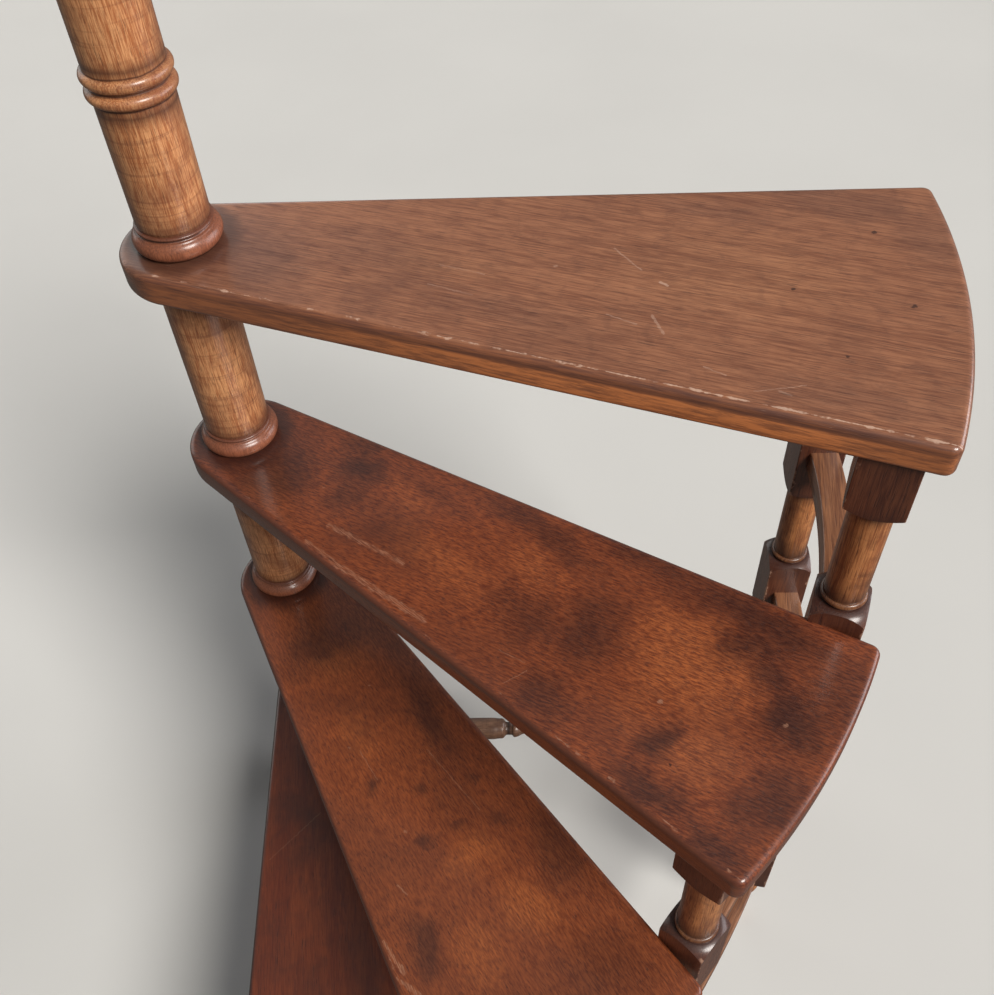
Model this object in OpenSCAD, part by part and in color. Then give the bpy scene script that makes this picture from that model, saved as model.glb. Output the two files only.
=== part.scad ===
// Spiral library steps in stained beech: wedge treads fan round a turned pole,
// turned legs carry their outer ends, and curved rails tie the legs together.
// The pole stands on the origin, and the top tread points along +X.

/* [Steps] */
// Height from one tread top to the next
riser = 210; // [190:1:235]
// Thickness of a tread
tread_t = 26; // [20:1:30]
// Radius of the curved outer ends of the treads
tread_r = 570; // [520:1:620]
// Diameter of the round hub end of a tread
hub_d = 99; // [88:1:110]
// Radius of the outer corners of a tread, seen from above
corner_r = 8; // [7:1:12]
// Radius of the rounded edges of a tread
edge_r = 5; // [2:0.5:6]
// Turn from one tread to the next, seen from above
step_angle = 22.4; // [20:0.2:24]
// Extra width of the top tread
top_extra_angle = 6.2; // [3:0.2:9]
// Direction of the rear outer corner of the top tread
top_rear_angle = 3.4; // [0:0.1:8]

/* [Pole] */
// Diameter of the plain pole
pole_d = 56; // [50:1:62]
// Diameter of the collar at the foot of each pole section
collar_d = 68; // [64:1:76]
// Height of the collar's round moulding
collar_h = 16; // [11:1:19]
// Diameter of the tenon that joins the pole sections
tenon_d = 30; // [24:1:34]
// Depth of the tenon in the section below the tread
tenon_depth = 30; // [20:1:40]
// Height of the double ring above the top tread
ring_height = 130; // [100:1:150]
// Length of the pole above the double ring
upper_length = 515; // [400:5:640]

/* [Legs] */
// Distance of the legs' centres from the rim of the treads
leg_inset = 38; // [33:1:48]
// Side of the square blocks of a leg
block_w = 41; // [38:1:46]
// Diameter of the turned shafts of a leg
shaft_d = 31.5; // [28:0.5:35]
// Setback of a leg behind the front edge of its tread
leg_setback = 5; // [0:0.5:6]
// Distance of the rear leg's centre from the rim of the top tread
rear_leg_inset = 52; // [43:1:63]
// Setback of the rear leg from the rear edge of the top tread
rear_leg_setback = 25; // [15:1:30]
// Height of a leg block above a tread top, with its dome
block_above = 26; // [22:1:34]
// Depth of a leg block below a tread top, with its shoulder
block_below = 81; // [72:1:90]
// Height of the turned feet of the two legs that hold the low stretchers
foot_h = 55; // [45:1:58]

/* [Rails] */
// Width of a curved rail
rail_w = 25; // [20:1:30]
// Thickness of a curved rail
rail_t = 22; // [16:1:26]
// Chamfer along the long edges of a rail
rail_edge = 1.5; // [0.5:0.5:3]
// Height of the low turned stretchers above the floor
stretcher_z = 85; // [78:1:92]
// Largest diameter of the low turned stretchers
stretcher_d = 27; // [24:1:32]
// Diameter of the tenons at the ends of a stretcher
peg_d = 16; // [12:1:18]
// Depth of those tenons in the pole and in the leg
peg_depth = 14; // [10:1:16]

/* [Hidden] */
$fn = 64;

tread_count = 4;
hub_r = hub_d / 2;
pole_r = pole_d / 2;
collar_r = collar_d / 2;
shaft_r = shaft_d / 2;
block_corner_r = block_w / sqrt(2);
tread_colour = [0.40, 0.20, 0.14];
turned_colour = [0.66, 0.40, 0.23];

// Half the angle that a straight edge gains from hub to rim
edge_lean = asin(hub_r / tread_r);

function polar(r, a) = [r * cos(a), r * sin(a)];
function top_z(n) = n * riser;
function is_top(n) = n >= tread_count;

// Directions of the outer corners of tread n, counted from the floor
top_front_angle = top_rear_angle - step_angle - top_extra_angle;
function front_angle(n) = top_front_angle - (tread_count - n) * step_angle;
function rear_angle(n) = front_angle(n) + step_angle + (is_top(n) ? top_extra_angle : 0);

// Directions of the straight edges, which are tangent to the hub
function front_dir(n) = front_angle(n) + edge_lean;
function rear_dir(n) = rear_angle(n) - edge_lean;

// Small differences between the turned legs, counted from leg 1: how far a leg stands
// further out, how far further back, and how much its blocks reach up and down
leg_out = [0, 0, 3, 0, 0];
leg_back = [0, 0, 3, 0, 0];
leg_more_above = [0, 0, 0, -9, 0];
leg_more_below = [0, 0, -5, 5, 0];
function above(n) = block_above + leg_more_above[n - 1];
function below(n) = block_below + leg_more_below[n - 1];

// Place of leg n: its faces are parallel to the front edge of tread n,
// and those of the rear leg to the rear edge of the top tread
function is_rear(n) = n > tread_count;
function leg_r(n) = tread_r - (is_rear(n) ? rear_leg_inset : leg_inset) + leg_out[n - 1];
function leg_dir(n) = is_rear(n) ? rear_dir(tread_count) : front_dir(n);
function leg_offset(n) = is_rear(n)
    ? hub_r - rear_leg_setback - block_w / 2
    : leg_setback + leg_back[n - 1] + block_w / 2 - hub_r;
function leg_angle(n) = leg_dir(n) + asin(leg_offset(n) / leg_r(n));
function leg_top(n) = top_z(min(n, tread_count)) - tread_t;

// Points along an arc, from one direction to another
function arc(centre, r, from, to, steps) =
    [for (i = [0 : steps]) centre + polar(r, from + (to - from) * i / steps)];

// Treads

hub_steps = 36;
rim_steps = 16;
corner_steps = 4;
edge_steps = 4;
corner_lean = asin((hub_r - corner_r) / (tread_r - corner_r));

// The round end is struck a little in front of the pole, so the straight edges stay tangent to it
hub_shift = 3.5;

// Outline of a tread drawn in by inset: round hub, straight edges, rounded corners and curved rim
function tread_path(n, inset = 0) =
    let (
        front = front_dir(n) - corner_lean,
        rear = rear_dir(n) + corner_lean,
        front_centre = polar(tread_r - corner_r, front),
        rear_centre = polar(tread_r - corner_r, rear),
        middle = (front_dir(n) + rear_dir(n)) / 2,
        end_r = hub_r + hub_shift * sin(rear_dir(n) - middle)
    )
    concat(
        arc(polar(hub_shift, middle), end_r - inset, rear_dir(n) + 90, front_dir(n) + 270, hub_steps),
        arc(front_centre, corner_r - inset, front_dir(n) - 90, front, corner_steps),
        arc([0, 0], tread_r - inset, front, rear, rim_steps),
        arc(rear_centre, corner_r - inset, rear, rear_dir(n) + 90, corner_steps)
    );

// Slab with its top and bottom edges rounded over
module tread_slab(n) {
    hull()
        for (i = [0 : edge_steps]) {
            turn = 90 * i / edge_steps;
            inset = edge_r * (1 - sin(turn));
            rise = edge_r * (1 - cos(turn));
            translate([0, 0, rise])
                linear_extrude(tread_t - 2 * rise)
                    polygon(tread_path(n, inset));
        }
}

module tread(n) {
    color(tread_colour)
    translate([0, 0, top_z(n) - tread_t])
    difference() {
        tread_slab(n);
        translate([0, 0, -1]) cylinder(h = tread_t + 2, d = tenon_d);
    }
}

// Pole

fillet_h = 4;
fillet_gap = 1.5;
fillet_out = 2.5;

// Collar moulding: a fat round with a small fillet above it
module collar_profile() {
    bead_r = collar_h / 2;
    translate([collar_r - bead_r, bead_r]) circle(bead_r);
    square([collar_r - bead_r, collar_h]);
    square([pole_r, collar_h + fillet_h + 2 * fillet_gap]);
    translate([0, collar_h + fillet_gap]) square([pole_r + fillet_out, fillet_h]);
}

module pole_profile(length) {
    collar_profile();
    square([pole_r, length]);
}

module tenon() {
    reach = tread_t + tenon_depth;
    translate([0, 0, -reach]) cylinder(h = reach + 1, d = tenon_d);
}

module socket(length) {
    translate([0, 0, length - tenon_depth]) cylinder(h = tenon_depth + 1, d = tenon_d);
}

module pole_foot() {
    length = riser - tread_t;
    color(turned_colour)
    difference() {
        rotate_extrude() pole_profile(length);
        socket(length);
        stretcher_peg(1);
        stretcher_peg(tread_count + 1);
    }
}

module pole_section(n) {
    length = riser - tread_t;
    color(turned_colour)
    translate([0, 0, top_z(n)])
    union() {
        difference() {
            rotate_extrude() pole_profile(length);
            socket(length);
        }
        tenon();
    }
}

ring_bead_r = 4.5;
ring_bead_out = 3.5;
ring_bead_pitch = 12;

module ring_bead(z) {
    translate([pole_r + ring_bead_out - ring_bead_r, z]) circle(ring_bead_r);
}

module pole_post() {
    length = ring_height;
    color(turned_colour)
    translate([0, 0, top_z(tread_count)])
    union() {
        rotate_extrude() {
            pole_profile(length);
            ring_bead(length - ring_bead_pitch / 2);
        }
        tenon();
    }
}

module pole_upper() {
    color(turned_colour)
    translate([0, 0, top_z(tread_count) + ring_height])
        rotate_extrude() {
            square([pole_r, upper_length]);
            ring_bead(ring_bead_pitch / 2);
            ring_bead(upper_length - ring_bead_pitch / 2);
            ring_bead(upper_length - 3 / 2 * ring_bead_pitch);
        }
}

finial_base_r = 24;
finial_base_h = 8;
finial_neck_r = 15;
finial_neck_h = 10;
finial_ball_r = 30;
finial_button_r = 8;

// Finial: a disc that steps in to a neck, a ball and a small button on top
module finial() {
    sink = finial_ball_r - sqrt(finial_ball_r ^ 2 - finial_neck_r ^ 2);
    ball_z = finial_base_h + finial_neck_h + finial_ball_r - sink;
    color(turned_colour)
    translate([0, 0, top_z(tread_count) + ring_height + upper_length])
        rotate_extrude() {
            square([finial_base_r, finial_base_h]);
            square([finial_neck_r, ball_z]);
            intersection() {
                translate([0, ball_z]) circle(finial_ball_r);
                translate([0, finial_base_h]) square([finial_ball_r, 2 * finial_ball_r + finial_neck_h]);
            }
            intersection() {
                translate([0, ball_z + finial_ball_r]) circle(finial_button_r);
                translate([0, ball_z]) square([finial_button_r, 2 * finial_ball_r]);
            }
        }
}

// Legs

dome_r = 17.5;
dome_h = 11;
dome_steps = 6;
dome_bulge = 0.8;
shoulder_h = 9;
ring_h = 5.5;
ring_gap = 1.5;
ring_out = 1.7;
full_r = block_corner_r + 1;

// Points of the dome that is turned on the upper end of a block
function dome_points(z1) = [for (i = [0 : dome_steps])
    let (t = i / dome_steps)
    [full_r + (dome_r - full_r) * t, z1 - dome_h * (1 - t) + dome_bulge * sin(180 * t)]];

// Outline of the ends of a square block as they are turned: a dome above, a shoulder below
module block_profile(z0, z1, dome, shoulder) {
    low = shoulder ? [[0, z0], [shaft_r, z0], [full_r, z0 + shoulder_h]] : [[0, z0], [full_r, z0]];
    high = dome ? concat(dome_points(z1), [[0, z1]]) : [[full_r, z1], [0, z1]];
    polygon(concat(low, high));
}

module leg_block(z0, z1, dome = true, shoulder = true) {
    intersection() {
        translate([-block_w / 2, -block_w / 2, z0]) cube([block_w, block_w, z1 - z0]);
        rotate_extrude() block_profile(z0, z1, dome, shoulder);
    }
}

// A turned shaft that stands on the dome of the block below, with a ring at its foot
module leg_shaft(z0, z1) {
    ring_z = z0 + ring_gap;
    round = ring_out / 2;
    rotate_extrude()
        polygon([
            [0, z0 - 1],
            [shaft_r, z0 - 1],
            [shaft_r, ring_z],
            [shaft_r + ring_out - round, ring_z],
            [shaft_r + ring_out, ring_z + round],
            [shaft_r + ring_out, ring_z + ring_h - 2 * round],
            [shaft_r + ring_out - round, ring_z + ring_h - round],
            [shaft_r, ring_z + ring_h],
            [shaft_r, z1 + 1],
            [0, z1 + 1],
        ]);
}

foot_floor_r = 10;
foot_peg_r = 11;
foot_peg_low = 10;
foot_swell_r = 16;
foot_swell_drop = 14;
foot_taper_h = 40;
foot_round_h = 12;
foot_round = 2;
foot_neck_r = 12;
foot_neck_h = 4;
foot_bead_r = 17;
foot_bead_h = 7;

// Turned foot of height h: a slim peg that swells out, then a neck and a bead under the block
module leg_foot(h) {
    bead_z = h - foot_bead_h;
    bead_round = foot_bead_h / 2;
    neck_z = bead_z - foot_neck_h;
    swell_z = neck_z - foot_swell_drop;
    peg_z = max(foot_peg_low, swell_z - foot_taper_h);
    rotate_extrude() {
        polygon([
            [0, 0],
            [foot_floor_r, 0],
            [foot_peg_r, peg_z],
            [foot_swell_r - foot_round, swell_z - foot_round_h],
            [foot_swell_r, swell_z],
            [foot_swell_r - foot_round, swell_z + foot_round_h / 2],
            [foot_neck_r, neck_z],
            [foot_neck_r, h + 1],
            [0, h + 1],
        ]);
        translate([foot_bead_r - bead_round, h - bead_round]) circle(bead_round);
        translate([0, bead_z]) square([foot_bead_r - bead_round, foot_bead_h]);
    }
}

// Number of lower treads or rails that leg n passes
function leg_levels(n) = min(n, tread_count) - 1;

// The legs without a stretcher are turned all the way below their lowest block
function leg_foot_h(n) = has_stretcher(n) ? foot_h : top_z(1) - below(n);

module leg_shape(n) {
    levels = leg_levels(n);
    top = leg_top(n);
    top_block = top + tread_t - below(n);
    low_block_top = levels > 0 ? top_z(1) + above(n) : top;
    leg_foot(leg_foot_h(n));
    leg_block(leg_foot_h(n), low_block_top, dome = levels > 0, shoulder = !has_stretcher(n));
    if (levels > 0) {
        for (m = [2 : 1 : levels]) {
            leg_shaft(top_z(m - 1) + above(n), top_z(m) - below(n));
            leg_block(top_z(m) - below(n), top_z(m) + above(n));
        }
        leg_shaft(top_z(levels) + above(n), top_block);
        leg_block(top_block, top, dome = false);
    }
}

function leg_centre(n) = polar(leg_r(n), leg_angle(n));

module place_leg(n) {
    translate(leg_centre(n))
        rotate([0, 0, leg_dir(n)])
            children();
}

module leg(n) {
    color(turned_colour)
    difference() {
        place_leg(n) leg_shape(n);
        if (n > 1 && n <= tread_count) {
            translate([0, 0, top_z(n - 1) - tread_t])
                linear_extrude(tread_t)
                    polygon(tread_path(n - 1));
        }
        if (has_stretcher(n)) stretcher_peg(n);
    }
}

// Curved rails between leg n and leg n + 1 at the height of tread m

module leg_space(n) {
    place_leg(n)
        translate([-block_w / 2, -block_w / 2, 0]) cube([block_w, block_w, top_z(tread_count)]);
}

// A rail is part of a ring that passes through both leg centres. The ring of the rear rails
// is as wide as the circle of legs, and the rails before them are bent less
rail_straighter = 2;
function rail_r(n) = (tread_r - leg_inset) * (is_top(n) ? 1 : rail_straighter);
function rail_centre(n) =
    let (a = leg_centre(n), d = leg_centre(n + 1) - a, half = norm(d) / 2)
    a + d / 2 + [-d[1], d[0]] / norm(d) * sqrt(rail_r(n) ^ 2 - half ^ 2);
function direction(v) = atan2(v[1], v[0]);

module rail_profile(n) {
    translate([rail_r(n) - rail_w / 2, -rail_t / 2])
        polygon([
            [rail_edge, 0],
            [rail_w - rail_edge, 0],
            [rail_w, rail_edge],
            [rail_w, rail_t - rail_edge],
            [rail_w - rail_edge, rail_t],
            [rail_edge, rail_t],
            [0, rail_t - rail_edge],
            [0, rail_edge],
        ]);
}

module rail(n, m) {
    centre = rail_centre(n);
    start = direction(leg_centre(n) - centre);
    turn = direction(leg_centre(n + 1) - centre) - start;
    color(tread_colour)
    difference() {
        translate([centre[0], centre[1], top_z(m) + (block_above - block_below) / 2])
            rotate([0, 0, start])
                rotate_extrude(angle = turn, $fn = 256)
                    rail_profile(n);
        leg_space(n);
        leg_space(n + 1);
    }
}

// Low turned stretchers from the pole foot to the first and the last leg

function has_stretcher(n) = n == 1 || is_rear(n);
function stretcher_end(n) = leg_r(n) - block_w / 2;

// Direction from the pole to the middle of the leg's inner face
function stretcher_dir(n) = leg_angle(n);

// The two tenons of stretcher n, which fill their holes in the pole and in the leg
module stretcher_peg(n) {
    rotate([0, 0, stretcher_dir(n)])
        translate([pole_r - peg_depth, 0, stretcher_z])
            rotate([0, 90, 0])
                cylinder(h = stretcher_end(n) - pole_r + 2 * peg_depth, d = peg_d);
}

stretcher_end_r = 9.5;
stretcher_groove_r = 8;
stretcher_bead_r = 11;
stretcher_waist_r = 6.5;
stretcher_bulge = 0.5;
stretcher_round = 2;

// Distances from the middle of a stretcher to where its bead, waist, outer bead, groove and bulb end
stretcher_bead_end = 4;
stretcher_waist_start = 8;
stretcher_waist_end = 20;
stretcher_outer_bead = 32;
stretcher_groove_start = 36;
stretcher_groove_end = 42;
stretcher_bulb_start = 50;
stretcher_bulb_middle = 60;
stretcher_bulb_end = 75;
stretcher_taper_start = 105;
stretcher_tip_h = 40;

// Outline of half a stretcher as [distance from its middle, radius]: a bead in the middle,
// a waist that widens to a second bead, a groove, and a long bulb that tapers to the end
function stretcher_half(half) =
    let (bulb_r = stretcher_d / 2)
    [
        [0, stretcher_bead_r],
        [stretcher_bead_end, stretcher_bead_r],
        [stretcher_bead_end + stretcher_round, stretcher_bead_r - stretcher_round],
        [stretcher_waist_start, stretcher_waist_r],
        [stretcher_waist_end, stretcher_waist_r],
        [stretcher_outer_bead - stretcher_round, stretcher_bead_r - 1],
        [stretcher_outer_bead, stretcher_bead_r],
        [stretcher_groove_start - 1, stretcher_bead_r],
        [stretcher_groove_start, stretcher_groove_r],
        [stretcher_groove_end, stretcher_groove_r],
        [stretcher_groove_end + 1, bulb_r - stretcher_round - 1],
        [stretcher_bulb_start, bulb_r - stretcher_bulge],
        [stretcher_bulb_middle, bulb_r],
        [stretcher_bulb_end, bulb_r - stretcher_bulge],
        [stretcher_taper_start, bulb_r - stretcher_round],
        [half - stretcher_tip_h, stretcher_end_r + stretcher_bulge],
        [half, stretcher_end_r],
    ];

function both_halves(half) = concat(
    [for (i = [len(half) - 1 : -1 : 0]) [half[i][1], -half[i][0]]],
    [for (i = [1 : len(half) - 1]) [half[i][1], half[i][0]]]
);

module stretcher(n) {
    overlap = 4;
    start = pole_r - overlap;
    end = stretcher_end(n) + overlap;
    middle = (start + end) / 2;
    half = (end - start) / 2;
    outline = both_halves(stretcher_half(half));
    color(turned_colour)
    union() {
        difference() {
            rotate([0, 0, stretcher_dir(n)])
                translate([middle, 0, stretcher_z])
                    rotate([0, 90, 0])
                        rotate_extrude()
                            polygon(concat([[0, -half]], outline, [[0, half]]));
            cylinder(h = riser - tread_t, d = pole_d);
            leg_space(n);
        }
        stretcher_peg(n);
    }
}

tread(1);  // tread_1
tread(2);  // tread_2
tread(3);  // tread_3
tread(4);  // tread_4
pole_foot();
pole_section(1);  // pole_section_1
pole_section(2);  // pole_section_2
pole_section(3);  // pole_section_3
pole_post();
pole_upper();
finial();
leg(1);  // leg_1
leg(2);  // leg_2
leg(3);  // leg_3
leg(4);  // leg_4
leg(5);  // leg_5
rail(4, 3);  // rail_rear_3
rail(4, 2);  // rail_rear_2
rail(4, 1);  // rail_rear_1
rail(3, 2);  // rail_middle_2
rail(3, 1);  // rail_middle_1
rail(2, 1);  // rail_front_1
stretcher(5);  // stretcher_rear
stretcher(1);  // stretcher_front
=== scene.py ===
from math import asin, atan2, cos, degrees, pi, radians, sin, sqrt, tau

import bmesh
import bpy
from mathutils import Matrix, Vector
from mathutils.geometry import interpolate_bezier


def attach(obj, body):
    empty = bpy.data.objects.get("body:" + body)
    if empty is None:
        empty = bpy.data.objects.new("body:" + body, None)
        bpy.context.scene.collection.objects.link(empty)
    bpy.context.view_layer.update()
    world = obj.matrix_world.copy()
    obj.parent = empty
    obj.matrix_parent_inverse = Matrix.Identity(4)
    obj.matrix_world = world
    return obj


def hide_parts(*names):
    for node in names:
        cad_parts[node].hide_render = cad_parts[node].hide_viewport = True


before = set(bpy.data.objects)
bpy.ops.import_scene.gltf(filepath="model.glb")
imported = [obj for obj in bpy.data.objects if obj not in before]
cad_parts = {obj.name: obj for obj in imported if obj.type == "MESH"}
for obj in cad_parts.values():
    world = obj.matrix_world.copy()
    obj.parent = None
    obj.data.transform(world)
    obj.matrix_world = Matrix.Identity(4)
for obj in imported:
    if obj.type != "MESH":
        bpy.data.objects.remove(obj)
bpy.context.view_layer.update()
print("frame loaded")

# Sizes that several pieces share, in metres and degrees. The pole stands on the origin.
steps = {
    "count": 4,
    "riser": 0.210,
    "thickness": 0.026,
    "radius": 0.570,
    "hub": 0.0495,
    "hubShift": 0.0035,
    "turn": 22.4,
    "topExtra": 6.2,
    "topRear": 3.4,
    "pole": 0.028,
    "blockAbove": 0.026,
    "blockBelow": 0.081,
    "lowRail": 0.085,
}
rearLeg = steps["count"] + 1
edgeLean = degrees(asin(steps["hub"] / steps["radius"]))


def polar(radius, angle):
    return Vector((radius * cos(radians(angle)), radius * sin(radians(angle)), 0))


def topHeight(number):
    return number * steps["riser"]


def frontAngle(number):
    topFront = steps["topRear"] - steps["turn"] - steps["topExtra"]
    return topFront - (steps["count"] - number) * steps["turn"]


def frontDirection(number):
    return frontAngle(number) + edgeLean


def rearDirection(number):
    extra = steps["topExtra"] if number == steps["count"] else 0
    return frontAngle(number) + steps["turn"] + extra - edgeLean


# Helpers for nodes

def feed(tree, node, inputs):
    for name, value in inputs.items():
        if isinstance(value, bpy.types.NodeSocket):
            tree.links.new(value, node.inputs[name])
        else:
            node.inputs[name].default_value = value
    return node


def addNode(tree, kind, inputs=None, **settings):
    made = tree.nodes.new("ShaderNode" + kind)
    for name, value in settings.items():
        setattr(made, name, value)
    return feed(tree, made, inputs or {})


def calculate(tree, operation, first, second=0.0, third=0.0, clamp=False):
    sockets = {0: first, 1: second, 2: third}
    return addNode(tree, "Math", sockets, operation=operation, use_clamp=clamp).outputs["Value"]


def times(tree, first, second):
    return calculate(tree, "MULTIPLY", first, second)


def minus(tree, first, second):
    return calculate(tree, "SUBTRACT", first, second)


# 1 where there is no distance, down to 0 at the reach
def nearness(tree, distance, reach):
    return calculate(tree, "SUBTRACT", 1.0, calculate(tree, "DIVIDE", distance, reach), clamp=True)


def spread(tree, value, low, high, newLow=0.0, newHigh=1.0):
    sockets = {"Value": value, "From Min": low, "From Max": high, "To Min": newLow, "To Max": newHigh}
    return addNode(tree, "MapRange", sockets, interpolation_type="SMOOTHSTEP").outputs["Result"]


def blendColour(tree, factor, first, second, kind="MIX"):
    made = addNode(tree, "Mix", {0: factor, 6: first, 7: second}, data_type="RGBA", blend_type=kind)
    return made.outputs[2]


def onVector(tree, operation, first, second=(0, 0, 0)):
    return addNode(tree, "VectorMath", {0: first, 1: second}, operation=operation).outputs["Vector"]


def measure(tree, operation, first, second=(0, 0, 0)):
    return addNode(tree, "VectorMath", {0: first, 1: second}, operation=operation).outputs["Value"]


def scaleVector(tree, vector, amount):
    return addNode(tree, "VectorMath", {0: vector, "Scale": amount}, operation="SCALE").outputs["Vector"]


def flatten(tree, vector):
    return onVector(tree, "MULTIPLY", vector, (1, 1, 0))


def splitAxes(tree, vector):
    return addNode(tree, "SeparateXYZ", {0: vector}).outputs


def stretch(tree, vector, along, across):
    scale = addNode(tree, "CombineXYZ", {0: along, 1: across, 2: across}).outputs["Vector"]
    return onVector(tree, "MULTIPLY", vector, scale)


def cloud(tree, vector, scale, detail=2.0, roughness=0.5, distortion=0.0, output="Fac"):
    sockets = {"Vector": vector, "Scale": scale, "Detail": detail}
    sockets.update({"Roughness": roughness, "Distortion": distortion})
    return addNode(tree, "TexNoise", sockets).outputs[output]


# Noise that pushes a point to any side, so its parts run from minus a half to a half
def push(tree, vector, scale, detail):
    noise = cloud(tree, vector, scale, detail, output="Color")
    return onVector(tree, "SUBTRACT", noise, (0.5, 0.5, 0.5))


def newGroup(name, inputs, outputs):
    group = bpy.data.node_groups.new(name, "ShaderNodeTree")
    for label, kind, value in inputs:
        socket = group.interface.new_socket(name=label, in_out="INPUT", socket_type="NodeSocket" + kind)
        if value is not None:
            socket.default_value = value
    for label, kind in outputs:
        group.interface.new_socket(name=label, in_out="OUTPUT", socket_type="NodeSocket" + kind)
    start = group.nodes.new("NodeGroupInput")
    end = group.nodes.new("NodeGroupOutput")
    return group, start.outputs, end.inputs


def useGroup(tree, group, inputs):
    made = tree.nodes.new("ShaderNodeGroup")
    made.node_tree = group
    return feed(tree, made, inputs).outputs


# Patterns give a noise by scale, detail, roughness and distortion, a pair of stretches along and
# across, or a range of values.

# Grain along the first axis: fine fibres over soft broad bands, and short dark pores
grainPattern = {
    "lines": (1.0, 4.0, 0.66, 0.3),
    "bands": (0.13, 2.0, 0.5, 0.6),
    "poreDetail": 1.0,
    "poreEdge": (0.56, 0.70),
    "areas": (0.3, 1.0),
    "areaShare": (0.35, 0.6, 0.3, 1.0),
}


def makeGrainGroup():
    pattern = grainPattern
    inputs = [("Vector", "Vector", None), ("Along", "Float", 20.0), ("Across", "Float", 300.0)]
    inputs += [("Bands", "Float", 0.5), ("Pore Size", "Float", 0.6)]
    group, given, result = newGroup("fibreGrain", inputs, [("Figure", "Float"), ("Pores", "Float")])
    fine = stretch(group, given["Vector"], given["Along"], given["Across"])
    lines = cloud(group, fine, *pattern["lines"])
    bands = cloud(group, fine, *pattern["bands"])
    both = addNode(group, "Mix", {0: given["Bands"], 2: lines, 3: bands}, data_type="FLOAT").outputs[0]
    group.links.new(both, result["Figure"])
    dots = cloud(group, fine, calculate(group, "DIVIDE", 1.0, given["Pore Size"]), pattern["poreDetail"])
    dots = spread(group, dots, *pattern["poreEdge"])
    where = spread(group, cloud(group, fine, *pattern["areas"]), *pattern["areaShare"])
    group.links.new(times(group, dots, where), result["Pores"])
    return group


# Uneven stain that has soaked in more in some places
stainPattern = {"detail": 5.0, "roughness": 0.62, "distortion": 0.8}


def makeStainGroup():
    inputs = [("Vector", "Vector", None), ("Scale", "Float", 9.0)]
    inputs += [("Low", "Float", 0.4), ("High", "Float", 0.65)]
    group, given, result = newGroup("unevenStain", inputs, [("Mask", "Float")])
    mottle = cloud(group, given["Vector"], given["Scale"], **stainPattern)
    group.links.new(spread(group, mottle, given["Low"], given["High"]), result["Mask"])
    return group


# Uneven shifts that patches and strokes share, so that their outlines come out ragged
swayPattern = {
    "broad": (28.0, 4.0),
    "broadReach": (0.05, 0.05, 0.0),
    "fine": (260.0, 3.0),
    "streaks": (110.0, 1300.0),
    "streakNoise": (1.0, 3.0),
    "breakEdge": (0.35, 0.6),
}


def makeSwayGroup():
    pattern = swayPattern
    outputs = [("Broad", "Vector"), ("Fine", "Vector"), ("Breaks", "Float")]
    group, given, result = newGroup("raggedSway", [("Vector", "Vector", None)], outputs)
    place = given["Vector"]
    shift = onVector(group, "MULTIPLY", push(group, place, *pattern["broad"]), pattern["broadReach"])
    group.links.new(onVector(group, "ADD", place, shift), result["Broad"])
    group.links.new(push(group, place, *pattern["fine"]), result["Fine"])
    streaks = cloud(group, stretch(group, place, *pattern["streaks"]), *pattern["streakNoise"])
    group.links.new(spread(group, streaks, *pattern["breakEdge"]), result["Breaks"])
    return group


# One soft-edged patch
patchFade = (0.2, 1.3, 1.0, 0.0)


def makePatchGroup():
    inputs = [("Vector", "Vector", None), ("Centre", "Vector", None)]
    inputs += [("Size", "Vector", (0.05, 0.03, 1.0))]
    group, given, result = newGroup("stainPatch", inputs, [("Mask", "Float")])
    away = onVector(group, "SUBTRACT", given["Vector"], given["Centre"])
    away = flatten(group, onVector(group, "DIVIDE", away, given["Size"]))
    group.links.new(spread(group, measure(group, "LENGTH", away), *patchFade), result["Mask"])
    return group


# Darker stain that gathers in a groove and thins out on both sides, also used for painted shade on the
# pole under each tread
grooveFalloff = 2.0


def makeGrooveGroup():
    inputs = [("Height", "Float", 0.0), ("Groove", "Float", 0.0), ("Reach", "Float", 0.01)]
    group, given, result = newGroup("grooveStainAndShade", inputs, [("Mask", "Float")])
    away = calculate(group, "ABSOLUTE", minus(group, given["Height"], given["Groove"]))
    near = nearness(group, away, given["Reach"])
    group.links.new(calculate(group, "POWER", near, grooveFalloff), result["Mask"])
    return group


# Thin pale broken line where an arris has been rubbed
arrisPattern = {
    "sway": (170.0, 2.0, 0.7),
    "swayWidths": 3.0,
    "chips": 90.0,
    "chipWidths": (0.42, 0.70, 0.45, 2.4),
    "breaks": (42.0, 4.0, 0.75),
    "breakLimit": (-0.34, 0.72),
    "breakEdge": (-0.05, 0.08),
    "softness": (0.05, 0.6),
}


def makeArrisGroup():
    pattern = arrisPattern
    inputs = [("Distance", "Float", 0.0), ("Width", "Float", 0.001)]
    inputs += [("Vector", "Vector", None), ("Amount", "Float", 0.5)]
    group, given, result = newGroup("wornArris", inputs, [("Mask", "Float")])
    place = given["Vector"]
    swing = minus(group, cloud(group, place, *pattern["sway"]), 0.5)
    swing = times(group, swing, times(group, given["Width"], pattern["swayWidths"]))
    away = calculate(group, "ABSOLUTE", calculate(group, "ADD", given["Distance"], swing))
    chips = spread(group, cloud(group, place, pattern["chips"]), *pattern["chipWidths"])
    near = nearness(group, away, times(group, given["Width"], chips))
    near = spread(group, near, *pattern["softness"])
    breaks = cloud(group, place, *pattern["breaks"])
    limit = calculate(group, "MULTIPLY_ADD", given["Amount"], *pattern["breakLimit"])
    share = spread(group, minus(group, breaks, limit), *pattern["breakEdge"])
    group.links.new(times(group, near, share), result["Mask"])
    return group


# Stroke from a start along a span, such as a scratch or a rubbed streak
strokePattern = {
    "swing": (1.2, 0.0016),
    "softness": (0.0, 0.6),
}


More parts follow.
